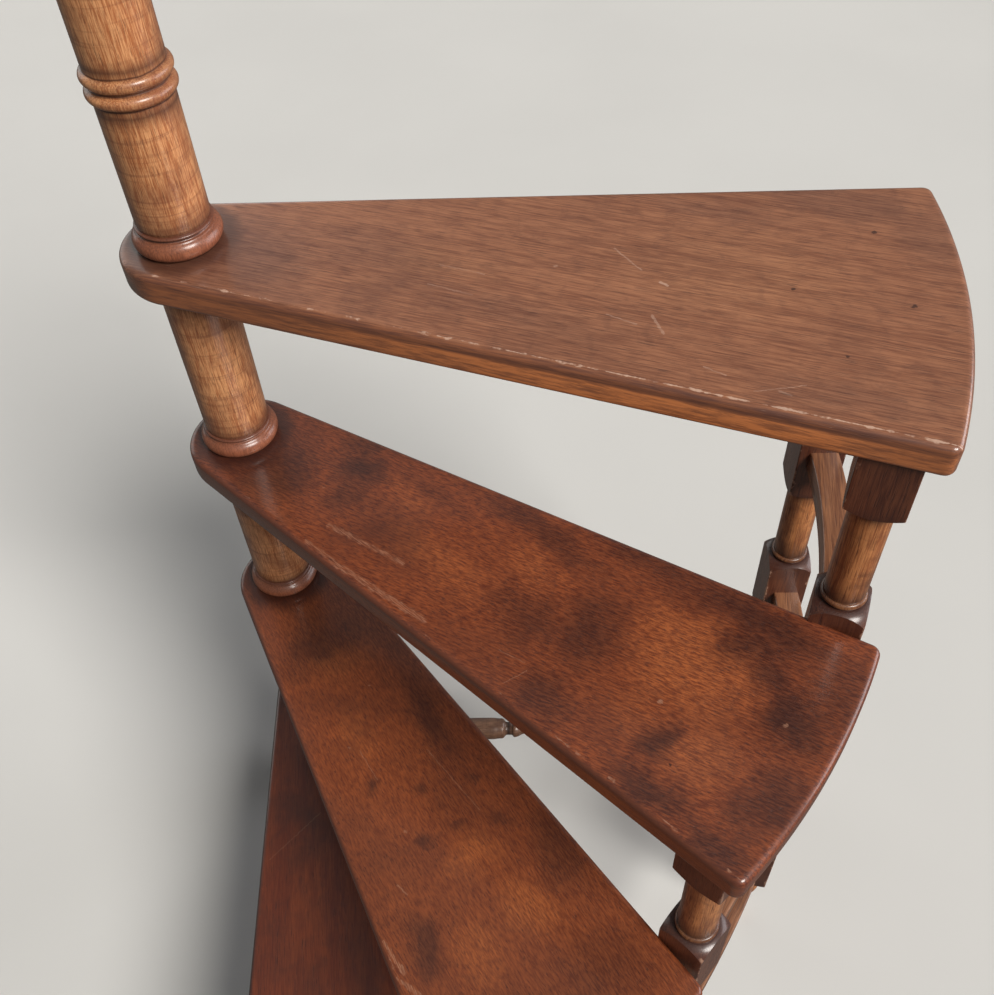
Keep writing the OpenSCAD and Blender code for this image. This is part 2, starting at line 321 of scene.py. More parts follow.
def makeStrokeGroup():
    pattern = strokePattern
    inputs = [("Vector", "Vector", None), ("Sway", "Vector", None), ("Breaks", "Float", 0.5)]
    inputs += [("Start", "Vector", None), ("Span", "Vector", None)]
    inputs += [("Width", "Float", 0.001), ("Ragged", "Float", 0.5)]
    group, given, result = newGroup("raggedStroke", inputs, [("Mask", "Float")])
    span = given["Span"]
    swing = calculate(group, "MULTIPLY_ADD", given["Width"], *pattern["swing"])
    moved = onVector(group, "ADD", given["Vector"], scaleVector(group, given["Sway"], swing))
    away = flatten(group, onVector(group, "SUBTRACT", moved, given["Start"]))
    onto = measure(group, "DOT_PRODUCT", away, span)
    share = calculate(group, "DIVIDE", onto, measure(group, "DOT_PRODUCT", span, span), clamp=True)
    aside = onVector(group, "SUBTRACT", away, scaleVector(group, span, share))
    near = nearness(group, measure(group, "LENGTH", aside), given["Width"])
    near = spread(group, near, *pattern["softness"])
    kept = minus(group, 1.0, times(group, given["Ragged"], given["Breaks"]))
    group.links.new(times(group, near, kept), result["Mask"])
    return group


# Fine pale scratches and rubbed flecks along the grain
scratchPattern = {
    "stretch": (38.0, 620.0),
    "lines": (1.0, 3.0, 0.6, 0.4),
    "areas": (13.0, 3.0),
    "areaEdge": (0.5, 0.7),
    "limit": (-0.2, 0.82),
    "sharpness": 14.0,
}


def makeScratchGroup():
    pattern = scratchPattern
    inputs = [("Vector", "Vector", None), ("Amount", "Float", 0.5)]
    group, given, result = newGroup("paleScratches", inputs, [("Mask", "Float")])
    lines = cloud(group, stretch(group, given["Vector"], *pattern["stretch"]), *pattern["lines"])
    where = spread(group, cloud(group, given["Vector"], *pattern["areas"]), *pattern["areaEdge"])
    limit = calculate(group, "MULTIPLY_ADD", given["Amount"], *pattern["limit"])
    sharp = calculate(group, "MULTIPLY", minus(group, lines, limit), pattern["sharpness"], clamp=True)
    group.links.new(times(group, sharp, where), result["Mask"])
    return group


grainGroup = makeGrainGroup()
stainGroup = makeStainGroup()
swayGroup = makeSwayGroup()
patchGroup = makePatchGroup()
grooveGroup = makeGrooveGroup()
arrisGroup = makeArrisGroup()
strokeGroup = makeStrokeGroup()
scratchGroup = makeScratchGroup()


def newMaterial(name):
    material = bpy.data.materials.new(name)
    material.use_nodes = True
    tree = material.node_tree
    return material, tree, tree.nodes["Principled BSDF"]


def placedCoordinates(tree, centre, turn):
    place = addNode(tree, "TexCoord").outputs["Object"]
    angles = [radians(angle) for angle in turn]
    sockets = {"Vector": place, "Location": centre, "Rotation": angles}
    return addNode(tree, "Mapping", sockets, vector_type="TEXTURE").outputs["Vector"]


def finishWood(tree, shader, colour, grain, look):
    tree.links.new(colour, shader.inputs["Base Color"])
    rough = calculate(tree, "MULTIPLY_ADD", grain["Pores"], look["poreRoughness"], look["roughness"])
    rough = calculate(tree, "MULTIPLY_ADD", grain["Figure"], look["figureRoughness"], rough)
    tree.links.new(rough, shader.inputs["Roughness"])
    shader.inputs["Coat Weight"].default_value = look["coat"]
    shader.inputs["Coat Roughness"].default_value = look["coatRoughness"]
    shader.inputs["IOR"].default_value = look["ior"]
    height = minus(tree, times(tree, grain["Figure"], look["figureHeight"]), grain["Pores"])
    sockets = {"Strength": look["bump"], "Distance": look["relief"], "Height": height}
    tree.links.new(addNode(tree, "Bump", sockets).outputs["Normal"], shader.inputs["Normal"])


waxedLook = {
    "roughness": 0.42,
    "poreRoughness": 0.2,
    "figureRoughness": 0.14,
    "coat": 0.9,
    "coatRoughness": 0.16,
    "ior": 1.45,
    "bump": 0.5,
    "relief": 0.0004,
    "figureHeight": 0.6,
}
turnedLook = dict(waxedLook, coat=0.8, coatRoughness=0.22)
poreShade = 0.55  # how dark the pores are


def addGrain(tree, place, look):
    inputs = {"Vector": place, "Along": look["along"], "Across": look["across"]}
    inputs.update({"Bands": look["bands"], "Pore Size": look["poreSize"]})
    grain = useGroup(tree, grainGroup, inputs)
    return grain, spread(tree, grain["Figure"], *look["contrast"])


def tint(tree, colour, mask, share, other):
    return blendColour(tree, times(tree, mask, share), colour, other)


# Uneven stain: scale of the pattern, where its mask starts and is full, and share
def addStains(tree, colour, place, stains, other):
    for scale, low, high, share in stains:
        inputs = {"Vector": place, "Scale": scale, "Low": low, "High": high}
        colour = tint(tree, colour, useGroup(tree, stainGroup, inputs)["Mask"], share, other)
    return colour


def strongest(tree, masks):
    total = 0.0
    for mask, strength in masks:
        total = calculate(tree, "MAXIMUM", total, times(tree, mask, strength))
    return total


# Stained tread boards. Patches are soft areas: centre along and across, then reach both ways and
# strength. Strokes are scratches and specks: start, end, width and strength. All in metres.
# On each board the edge colour paints the lit band of the front face. The colour listed just before it
# is both the stain mottle on the top and the painted shade on that face, and the dark colour paints the
# lower rounding's shade.
treadLooks = {
    1: {
        "dark": (0.030, 0.009, 0.006, 1),
        "middle": (0.130, 0.023, 0.009, 1),
        "light": (0.225, 0.048, 0.015, 1),
        "shade": (0.060, 0.018, 0.011, 1),
        "edge": (0.120, 0.040, 0.020, 1),
        "worn": (0.360, 0.160, 0.090, 1),
        "along": 40.0,
        "across": 620.0,
        "bands": 0.4,
        "grainTurn": 4,
        "mottleShare": 0.6,
        "wear": 0.3,
        "darkPatches": [
            (0.1, 0.02, 0.06, 0.04, 0.7), (0.33, 0.06, 0.05, 0.02, 0.4), (0.5, 0, 0.03, 0.05, 0.4),
        ],
        "lightPatches": [(0.25, 0, 0.08, 0.02, 0.4), (0.43, 0.04, 0.04, 0.03, 0.5)],
        "rubbed": [],
        "paleStrokes": [(0.171, 0.011, 0.22, -0.04, 0.0009, 0.35)],
        "darkStrokes": [],
    },
    2: {
        "dark": (0.032, 0.009, 0.006, 1),
        "middle": (0.148, 0.032, 0.011, 1),
        "light": (0.300, 0.076, 0.022, 1),
        "shade": (0.110, 0.028, 0.012, 1),
        "edge": (0.200, 0.055, 0.020, 1),
        "worn": (0.440, 0.230, 0.140, 1),
        "along": 110.0,
        "across": 640.0,
        "bands": 0.12,
        "grainTurn": 7,
        "mottleShare": 0.6,
        "wear": 0.35,
        "darkPatches": [
            (0.1, 0.005, 0.045, 0.045, 0.9), (0.226, 0.072, 0.06, 0.018, 0.8),
            (0.392, 0.12, 0.05, 0.02, 0.6), (0.265, -0.006, 0.008, 0.007, 0.8),
            (0.288, 0.033, 0.011, 0.009, 0.8), (0.3, 0.08, 0.01, 0.011, 0.7),
            (0.33, 0.019, 0.008, 0.01, 0.8), (0.339, 0.047, 0.008, 0.012, 0.7),
            (0.339, 0.088, 0.012, 0.013, 0.6), (0.415, -0.018, 0.026, 0.018, 0.8),
            (0.5, 0.1, 0.04, 0.05, 0.4), (0.31, 0.06, 0.05, 0.03, 0.35),
        ],
        "lightPatches": [
            (0.13, 0.014, 0.02, 0.03, 0.5), (0.367, 0.049, 0.02, 0.026, 0.7),
            (0.422, 0.077, 0.028, 0.026, 0.7), (0.213, 0, 0.034, 0.016, 0.45),
            (0.438, 0.023, 0.03, 0.022, 0.6),
        ],
        "rubbed": [
            (0.398, -0.0445, 0.428, -0.0385, 0.0022, 0.9), (0.433, -0.0425, 0.448, -0.034, 0.0026, 0.9),
        ],
        "paleStrokes": [
            (0.254, 0.054, 0.329, 0.073, 0.0006, 0.35), (0.227, -0.002, 0.262, 0.002, 0.0007, 0.35),
            (0.359, -0.017, 0.37, -0.013, 0.001, 0.6), (0.318, 0.006, 0.319, 0.007, 0.0014, 0.5),
            (0.22, -0.01, 0.221, -0.009, 0.0012, 0.4), (0.166, 0.03, 0.167, 0.031, 0.0012, 0.5),
        ],
        "darkStrokes": [],
    },
    3: {
        "dark": (0.034, 0.010, 0.007, 1),
        "middle": (0.118, 0.024, 0.010, 1),
        "light": (0.322, 0.080, 0.025, 1),
        "shade": (0.130, 0.036, 0.018, 1),
        "edge": (0.270, 0.068, 0.018, 1),
        "worn": (0.420, 0.210, 0.130, 1),
        "along": 120.0,
        "across": 660.0,
        "bands": 0.1,
        "grainTurn": 14,
        "mottleShare": 0.6,
        "wear": 0.4,
        "darkPatches": [
            (0.115, 0.038, 0.028, 0.022, 1), (0.1, 0.056, 0.02, 0.016, 0.7),
            (0.324, 0.021, 0.034, 0.026, 0.6), (0.128, 0.014, 0.022, 0.024, 0.7),
            (0.175, 0.005, 0.06, 0.03, 0.3), (0.372, 0.04, 0.03, 0.036, 0.8),
            (0.38, -0.026, 0.03, 0.022, 0.75), (0.359, 0.126, 0.07, 0.02, 0.8),
            (0.462, 0.132, 0.09, 0.024, 0.9), (0.542, 0.118, 0.034, 0.036, 0.6),
            (0.472, 0.106, 0.034, 0.026, 0.85), (0.528, 0.072, 0.024, 0.038, 1),
            (0.502, 0.09, 0.028, 0.022, 0.9), (0.548, 0.01, 0.024, 0.034, 0.75),
            (0.467, 0.002, 0.016, 0.016, 0.9), (0.482, -0.032, 0.034, 0.018, 0.9),
            (0.538, -0.041, 0.036, 0.02, 0.85), (0.06, -0.01, 0.05, 0.05, 0.9),
            (0.28, 0.092, 0.07, 0.018, 0.7), (0.19, 0.065, 0.04, 0.012, 0.4),
        ],
        "lightPatches": [
            (0.45, 0.06, 0.056, 0.044, 1), (0.42, 0.086, 0.04, 0.026, 1),
            (0.42, 0.055, 0.024, 0.028, 0.7), (0.237, 0.014, 0.06, 0.026, 0.5),
            (0.494, 0.012, 0.028, 0.026, 0.7), (0.17, 0.045, 0.028, 0.016, 0.4),
            (0.3, 0.058, 0.034, 0.018, 0.5), (0.44, 0.01, 0.02, 0.024, 0.4),
        ],
        "rubbed": [
            (0.141, -0.02, 0.216, -0.008, 0.003, 0.85), (0.175, -0.044, 0.268, -0.036, 0.0036, 0.9),
            (0.139, -0.044, 0.179, -0.043, 0.0026, 0.7),
        ],
        "paleStrokes": [
            (0.447, 0.025, 0.448, 0.026, 0.002, 1), (0.525, 0.067, 0.526, 0.069, 0.0016, 0.8),
            (0.33, -0.018, 0.352, -0.014, 0.0007, 0.35), (0.105, 0.004, 0.106, 0.005, 0.001, 0.6),
            (0.352, -0.037, 0.358, -0.018, 0.0005, 0.5),
        ],
        "darkStrokes": [(0.482, -0.01, 0.483, -0.01, 0.0012, 0.9)],
    },
    4: {
        # Paler and greyer than the other boards: partly its own tone, partly a painted sheen for the
        # pale room reflected in its top
        "dark": (0.060, 0.021, 0.013, 1),
        "middle": (0.222, 0.079, 0.040, 1),
        "light": (0.440, 0.186, 0.094, 1),
        "shade": (0.130, 0.048, 0.030, 1),
        "edge": (0.740, 0.250, 0.080, 1),
        "worn": (0.700, 0.460, 0.340, 1),
        "along": 34.0,
        "across": 720.0,
        "bands": 0.25,
        "grainTurn": 1,
        "mottleShare": 0.4,
        "wear": 0.75,
        "darkPatches": [
            (0.5, -0.02, 0.06, 0.02, 0.25), (0.06, -0.01, 0.06, 0.06, 0.5),
            (0.14, 0.03, 0.05, 0.03, 0.2), (0.27, -0.01, 0.06, 0.02, 0.25),
            (0.46, 0.185, 0.1, 0.022, 0.32), (0.535, 0.16, 0.03, 0.05, 0.3),
            (0.36, 0.15, 0.08, 0.016, 0.22),
        ],
        "lightPatches": [(0.4, 0.08, 0.09, 0.06, 0.22), (0.2, 0.03, 0.06, 0.02, 0.2)],
        "rubbed": [],
        "paleStrokes": [
            (0.315, 0.083, 0.34, 0.064, 0.0009, 0.44), (0.356, 0.055, 0.362, 0.052, 0.0015, 0.85),
            (0.36, 0.018, 0.372, 0.002, 0.0013, 0.5), (0.33, 0.01, 0.352, 0.006, 0.0009, 0.44),
            (0.2, 0.005, 0.235, 0.003, 0.0008, 0.33), (0.2, 0.028, 0.235, 0.027, 0.0008, 0.28),
            (0.28, 0.05, 0.281, 0.051, 0.0015, 0.44), (0.44, -0.035, 0.47, -0.02, 0.0005, 0.44),
            (0.455, -0.03, 0.463, -0.032, 0.0012, 0.33), (0.405, -0.022, 0.42, -0.026, 0.0008, 0.39),
        ],
        "darkStrokes": [
            (0.489, 0.155, 0.49, 0.156, 0.002, 0.9), (0.525, 0.078, 0.526, 0.079, 0.0022, 0.9),
            (0.445, 0.073, 0.446, 0.074, 0.0015, 0.9), (0.49, 0.015, 0.491, 0.015, 0.0014, 0.9),
        ],
    },
}


patchTints = {
    "light": (1.55, 1.75, 1.60, 1),
    "dark": (0.34, 0.38, 0.58, 1),
}


# Patches tint the colour that is there, so the fibres show through
def addPatches(tree, colour, sway, patches, patchTint):
    masks = []
    for x, y, sizeX, sizeY, strength in patches:
        inputs = {"Vector": sway["Broad"], "Centre": (x, y, 0), "Size": (sizeX, sizeY, 1)}
        masks.append((useGroup(tree, patchGroup, inputs)["Mask"], strength))
    tinted = blendColour(tree, 1.0, colour, patchTint, "MULTIPLY")
    return blendColour(tree, strongest(tree, masks), colour, tinted)


def addStrokes(tree, colour, place, sway, strokes, ragged, strokeColour):
    masks = []
    for x, y, endX, endY, width, strength in strokes:
        inputs = {"Vector": place, "Sway": sway["Fine"], "Breaks": sway["Breaks"]}
        inputs.update({"Start": (x, y, 0), "Span": (endX - x, endY - y, 0)})
        inputs.update({"Width": width, "Ragged": ragged})
        masks.append((useGroup(tree, strokeGroup, inputs)["Mask"], strength))
    return blendColour(tree, strongest(tree, masks), colour, strokeColour)


# Shading that the boards share. A range runs from one place to another, and the last two numbers are
# the shares there. Heights are from the top face, the rest from the front edge or the pole's middle.
boardShading = {
    "contrast": (0.36, 0.64),
    "poreSize": 0.55,
    "mottle": (9.0, 0.46, 0.78),
    "blotches": (60.0, 0.46, 0.72, 0.3),
    # Painted shade around the pole's foot on the top face
    "shadeAroundPole": (0.044, 0.062, 0.8, 0.0),
    "poleSway": (45.0, 0.016),
    "rubbedMix": 0.7,
    "ragged": {"rubbed": 0.9, "paleStrokes": 0.6, "darkStrokes": 0.0},
    # frontFace to underside paint light and shade on the long edge face: a lit band, with painted shade
    # under the upper arris, on the lower rounding and towards both ends
    "frontFace": (0.0012, 0.0040),
    "bandTop": (-0.0095, -0.0060, 1.0, 0.0),
    "bandFoot": (-0.0255, -0.0215, 0.0, 1.0),
    "streaks": (34.0, 360.0),
    "streakNoise": (1.0, 5.0, 0.68),
    "streakShare": (0.36, 0.60, 0.35, 1.0),
    "hubEnd": (0.05, 0.32, 0.45, 1.0),
    "rimEnd": (0.48, 0.54, 1.0, 0.7),
    "figureShare": 0.25,
    "undersideShade": (-0.0256, -0.0226, 0.75, 0.0),
    "topFace": -0.003,
    "arrisIn": 0.0003,
    "arrisWidth": 0.0009,
    "wearGrows": (0.10, 0.42, 0.6, 1.1),
    "scratchShare": 0.45,
    "wornShare": 0.8,
}


# Long edge faces in painted light and shade: dark under the upper arris and along the lower one, and a
# streaky painted lit band between that dims towards both ends
def edgeLightAndShade(tree, along, figure, axes, look):
    shading = boardShading
    streaks = cloud(tree, stretch(tree, along, *shading["streaks"]), *shading["streakNoise"])
    light = spread(tree, axes["Z"], *shading["bandTop"])
    light = times(tree, light, spread(tree, axes["Z"], *shading["bandFoot"]))
    light = times(tree, light, spread(tree, streaks, *shading["streakShare"]))
    for part in ("hubEnd", "rimEnd"):
        light = times(tree, light, spread(tree, axes["X"], *shading[part]))
    light = calculate(tree, "MAXIMUM", light, times(tree, figure, shading["figureShare"]))
    colour = blendColour(tree, light, look["shade"], look["edge"])
    return blendColour(tree, spread(tree, axes["Z"], *shading["undersideShade"]), colour, look["dark"])


# Rubbed front arris and pale scratches along the grain
def wearMask(tree, place, along, axes, amount):
    shading = boardShading
    arris = treadShape["edge"] - shading["arrisIn"] - steps["hub"]
    distance = calculate(tree, "ABSOLUTE", minus(tree, axes["Y"], arris))
    grown = spread(tree, axes["X"], *shading["wearGrows"])
    inputs = {"Distance": distance, "Width": shading["arrisWidth"], "Vector": place}
    inputs["Amount"] = times(tree, amount, grown)
    onTop = calculate(tree, "GREATER_THAN", axes["Z"], shading["topFace"])
    worn = times(tree, useGroup(tree, arrisGroup, inputs)["Mask"], onTop)
    scratches = useGroup(tree, scratchGroup, {"Vector": along, "Amount": amount})["Mask"]
    return calculate(tree, "MAXIMUM", worn, times(tree, scratches, shading["scratchShare"]))


def makeTreadMaterial(number):
    look = treadLooks[number]
    shading = boardShading
    material, tree, shader = newMaterial(f"stainedTread{number}")
    direction = frontDirection(number)
    base = (0, 0, topHeight(number))
    place = placedCoordinates(tree, base, (0, 0, direction))
    along = placedCoordinates(tree, base, (0, 0, direction + look["grainTurn"]))
    grain, figure = addGrain(tree, along, {**look, **shading})
    colour = blendColour(tree, figure, look["middle"], look["light"])
    mottle = (*shading["mottle"], look["mottleShare"])
    colour = addStains(tree, colour, place, [mottle], look["shade"])
    colour = addStains(tree, colour, along, [shading["blotches"]], look["shade"])
    sway = useGroup(tree, swayGroup, {"Vector": place})
    colour = addPatches(tree, colour, sway, look["lightPatches"], patchTints["light"])
    colour = addPatches(tree, colour, sway, look["darkPatches"], patchTints["dark"])
    # Painted shade on the top face around the pole's foot, fading out with distance from the pole
    radius = measure(tree, "LENGTH", flatten(tree, place))
    swayScale, swing = shading["poleSway"]
    radius = calculate(tree, "MULTIPLY_ADD", cloud(tree, place, swayScale), swing, radius)
    colour = blendColour(tree, spread(tree, radius, *shading["shadeAroundPole"]), colour, look["dark"])
    colour = tint(tree, colour, grain["Pores"], poreShade, look["dark"])
    halfWorn = blendColour(tree, shading["rubbedMix"], look["light"], look["worn"])
    strokeColours = {"rubbed": halfWorn, "paleStrokes": look["worn"], "darkStrokes": look["dark"]}
    for kind, strokeColour in strokeColours.items():
        colour = addStrokes(tree, colour, place, sway, look[kind], shading["ragged"][kind], strokeColour)
    axes = splitAxes(tree, place)
    # The front face takes its painted lit band and painted shade
    start, end = [distance - steps["hub"] for distance in shading["frontFace"]]
    onEdge = spread(tree, axes["Y"], start, end, 1.0, 0.0)
    colour = blendColour(tree, onEdge, colour, edgeLightAndShade(tree, along, figure, axes, look))
    worn = wearMask(tree, place, along, axes, look["wear"])
    colour = tint(tree, colour, worn, shading["wornShare"], look["worn"])
    finishWood(tree, shader, colour, grain, waxedLook)
    return material


honeyLook = {
    "dark": (0.070, 0.020, 0.010, 1),
    "middle": (0.450, 0.150, 0.050, 1),
    "light": (0.820, 0.400, 0.175, 1),
    "stained": (0.205, 0.062, 0.030, 1),
}
turnedShading = {
    "along": 60.0,
    "across": 1000.0,
    "bands": 0.25,
    "poreSize": 0.6,
    "contrast": (0.38, 0.60),
    "stains": [(17.0, 0.42, 0.72, 0.7), (110.0, 0.48, 0.76, 0.3)],
    "marks": (420.0, 14.0),
    "markShare": (0.50, 0.72, 0.0, 0.4),
    "swayNoise": (60.0, 3.0),
    "grooveSway": 0.003,
    "stainedStart": (-0.0008, 0.0002),
    "stainedEnd": (-0.0004, 0.0006),
    "stainedShare": 0.9,
    "stainedLighter": 1.7,
}


# Honey-coloured turned wood with the grain along the axis. Grooves hold darker stain, and on the pole
# painted shade under
# each tread: height, reach and strength. Stained lengths run from one height to another.
def makeTurnedMaterial(name, centre, turn, grooves, stained=(), look=honeyLook):
    shading = turnedShading
    material, tree, shader = newMaterial(name)
    place = placedCoordinates(tree, centre, turn)
    grain, figure = addGrain(tree, place, shading)
    colour = blendColour(tree, figure, look["middle"], look["light"])
    colour = addStains(tree, colour, place, shading["stains"], look["stained"])
    marks = cloud(tree, stretch(tree, place, *shading["marks"]), 1.0)
    colour = blendColour(tree, spread(tree, marks, *shading["markShare"]), colour, look["stained"])
    height = splitAxes(tree, place)["X"]
    for low, high in stained:
        above = spread(tree, height, *[low + fade for fade in shading["stainedStart"]])
        below = spread(tree, height, *[high + fade for fade in shading["stainedEnd"]], 1.0, 0.0)
        lighter = [share * shading["stainedLighter"] for share in look["stained"][:3]] + [1]
        streaked = blendColour(tree, figure, look["stained"], lighter)
        colour = tint(tree, colour, times(tree, above, below), shading["stainedShare"], streaked)
    swing = shading["grooveSway"]
    sway = cloud(tree, place, *shading["swayNoise"])
    height = calculate(tree, "ADD", height, calculate(tree, "MULTIPLY_ADD", sway, swing, -swing / 2))
    masks = []
    for groove, reach, strength in grooves:
        inputs = {"Height": height, "Groove": groove, "Reach": reach}
        masks.append((useGroup(tree, grooveGroup, inputs)["Mask"], strength))
    colour = blendColour(tree, strongest(tree, masks), colour, look["dark"])
    colour = tint(tree, colour, grain["Pores"], poreShade, look["dark"])
    finishWood(tree, shader, colour, grain, turnedLook)
    return material


shaftLook = {
    "middle": (0.330, 0.100, 0.031, 1),
    "light": (0.680, 0.280, 0.100, 1),
}
blockLook = {
    "dark": (0.026, 0.008, 0.006, 1),
    "middle": (0.072, 0.018, 0.009, 1),
    "light": (0.155, 0.048, 0.021, 1),
    "worn": (0.480, 0.270, 0.180, 1),
}
legShading = {
    "along": 34.0,
    "across": 760.0,
    "bands": 0.3,
    "poreSize": 0.6,
    "contrast": (0.36, 0.62),
    "stains": [(24.0, 0.42, 0.70, 0.6), (90.0, 0.46, 0.74, 0.35)],
    "blockFade": 0.0008,
    "lowFade": 0.001,
    "underRing": (0.0007, 0.009),
    "underShoulder": 0.016,
    "overRing": (0.0100, 0.030),
    "grooveShare": 0.8,
    "arrisWidth": 0.0016,
    "arrisWear": 0.7,
    "wornShare": 0.7,
}


# 1 on the square blocks of a leg and 0 on its shafts and its foot
def blockMask(tree, number, height):
    riser = steps["riser"]
    blockMiddle = (blockAbove(number) - blockBelow(number)) / 2
    halfBlock = (blockAbove(number) + blockBelow(number)) / 2
    inRiser = calculate(tree, "FLOORED_MODULO", minus(tree, height, blockMiddle - riser / 2), riser)
    fromMiddle = calculate(tree, "ABSOLUTE", minus(tree, inRiser, riser / 2))
    onBlock = spread(tree, fromMiddle, halfBlock, halfBlock + legShading["blockFade"], 1.0, 0.0)
    low = spread(tree, height, riser, riser + legShading["lowFade"], 1.0, 0.0)
    aboveFoot = calculate(tree, "GREATER_THAN", height, footHeight(number))
    return times(tree, calculate(tree, "MAXIMUM", onBlock, low), aboveFoot)


# Legs: honey shafts and darker blocks, stain in the grooves, rubbed arrises
def makeLegMaterial(number):
    shading = legShading
    material, tree, shader = newMaterial(f"legWood{number}")
    upright = placedCoordinates(tree, legCentre(number), (0, 0, legDirection(number)))
    place = placedCoordinates(tree, legCentre(number), (0, -90, 0))
    grain, figure = addGrain(tree, place, shading)
    shaft = blendColour(tree, figure, shaftLook["middle"], shaftLook["light"])
    block = blendColour(tree, figure, blockLook["middle"], blockLook["light"])
    axes = splitAxes(tree, upright)
    colour = blendColour(tree, blockMask(tree, number, axes["Z"]), shaft, block)
    colour = addStains(tree, colour, place, shading["stains"], blockLook["middle"])
    level = calculate(tree, "FLOORED_MODULO", axes["Z"], steps["riser"])
    grooves = [(-blockBelow(number), shading["underShoulder"])]
    for above, reach in (shading["underRing"], shading["overRing"]):
        grooves.append((blockAbove(number) + above, reach))
    masks = []
    for groove, reach in grooves:
        inputs = {"Height": level, "Groove": groove % steps["riser"], "Reach": reach}
        masks.append((useGroup(tree, grooveGroup, inputs)["Mask"], shading["grooveShare"]))
    colour = blendColour(tree, strongest(tree, masks), colour, blockLook["dark"])
    colour = tint(tree, colour, grain["Pores"], poreShade, blockLook["dark"])
    sides = [calculate(tree, "ABSOLUTE", axes[axis]) for axis in ("X", "Y")]
    corner = minus(tree, calculate(tree, "MINIMUM", *sides), leg["block"] / 2)
    inputs = {"Distance": corner, "Width": shading["arrisWidth"]}
    inputs.update({"Vector": place, "Amount": shading["arrisWear"]})
    worn = useGroup(tree, arrisGroup, inputs)["Mask"]
    colour = tint(tree, colour, worn, shading["wornShare"], blockLook["worn"])
    finishWood(tree, shader, colour, grain, turnedLook)
    return material


railLook = {
    "dark": (0.060, 0.020, 0.012, 1),
    "middle": (0.150, 0.054, 0.026, 1),
    "light": (0.340, 0.145, 0.065, 1),
    "along": 24.0,
    "across": 520.0,
    "bands": 0.3,
    "poreSize": 0.6,
    "contrast": (0.34, 0.62),
    "stains": [(14.0, 0.40, 0.72, 0.5)],
}


def makeRailMaterial(name, centre, turn):
    look = railLook
    material, tree, shader = newMaterial(name)
    place = placedCoordinates(tree, centre, (0, 0, turn))
    grain, figure = addGrain(tree, place, look)
    colour = blendColour(tree, figure, look["middle"], look["light"])
    colour = addStains(tree, colour, place, look["stains"], look["dark"])
    colour = tint(tree, colour, grain["Pores"], poreShade, look["dark"])
    finishWood(tree, shader, colour, grain, turnedLook)
    return material


# Helpers for meshes

mergeDistance = 0.00001


def closeMesh(bm):
    bmesh.ops.remove_doubles(bm, verts=bm.verts[:], dist=mergeDistance)
    bmesh.ops.recalc_face_normals(bm, faces=bm.faces[:])


def everything(bm):
    return bm.faces[:] + bm.edges[:] + bm.verts[:]


def ofKind(items, kind):
    return [item for item in items if isinstance(item, kind)]


def roundOver(bm, geom, offset, segments, affect="EDGES"):
    bmesh.ops.bevel(
        bm, geom=geom, offset=offset, offset_type="OFFSET", affect=affect,
        segments=segments, profile=0.5, material=-1,
    )


def makeObject(bm, name):
    mesh = bpy.data.meshes.new(name)
    bm.to_mesh(mesh)
    bm.free()
    made = bpy.data.objects.new(name, mesh)
    bpy.context.scene.collection.objects.link(made)
    return made


def finishPiece(bm, name, node, material, sharpAngle=35):
    closeMesh(bm)
    piece = makeObject(bm, name)
    piece.data.shade_smooth()
    piece.data.set_sharp_from_angle(angle=radians(sharpAngle))
    piece.data.materials.append(material)
    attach(piece, "root")
    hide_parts(node)
    return piece


def rise(edge):
    return abs(edge.verts[0].co.z - edge.verts[1].co.z)


def addArc(bm, centre, radius, start, end, parts):
    first = bm.verts.new(centre + polar(radius, start))
    angle = radians(end - start)
    made = bmesh.ops.spin(bm, geom=[first], cent=centre, axis=(0, 0, 1), angle=angle, steps=parts)
    return first, ofKind(made["geom_last"], bmesh.types.BMVert)[0]


def turnOnLathe(profile, parts=72):
    bm = bmesh.new()
    points = [bm.verts.new((radius, 0, height)) for radius, height in profile]
    edges = [bm.edges.new(pair) for pair in zip(points, points[1:])]
    bmesh.ops.spin(
        bm, geom=points + edges, cent=(0, 0, 0), axis=(0, 0, 1), angle=tau, steps=parts, use_merge=True,
    )
    closeMesh(bm)
    return bm


# Parts of a profile: each starts at the last point, which is (radius, height)

def addBead(profile, base, out, top, parts=10):
    start = profile[-1][1]
    for part in range(parts + 1):
        turn = pi * part / parts
        profile.append((base + out * sin(turn), start + (top - start) * (1 - cos(turn)) / 2))


def addSweep(profile, radius, height, parts=10):
    start = Vector(profile[-1])
    end = Vector((radius, height))
    middle = (start.y + end.y) / 2
    curve = interpolate_bezier(start, Vector((start.x, middle)), Vector((end.x, middle)), end, parts + 1)
    profile.extend(tuple(point) for point in curve[1:])


def addRound(profile, centreRadius, centreHeight, size, start, end, parts=12):
    for part in range(parts + 1):
        turn = radians(start + (end - start) * part / parts)
        profile.append((centreRadius + size * cos(turn), centreHeight + size * sin(turn)))


# Treads: wedge boards with a round hub, a curved rim and rounded edges
treadShape = {
    "corner": 0.008,
    "edge": 0.005,
    "hubParts": 60,
    "rimParts": 44,
    "cornerParts": 7,
    "edgeSegments": 5,
    "flatBorder": 0.0012,
}


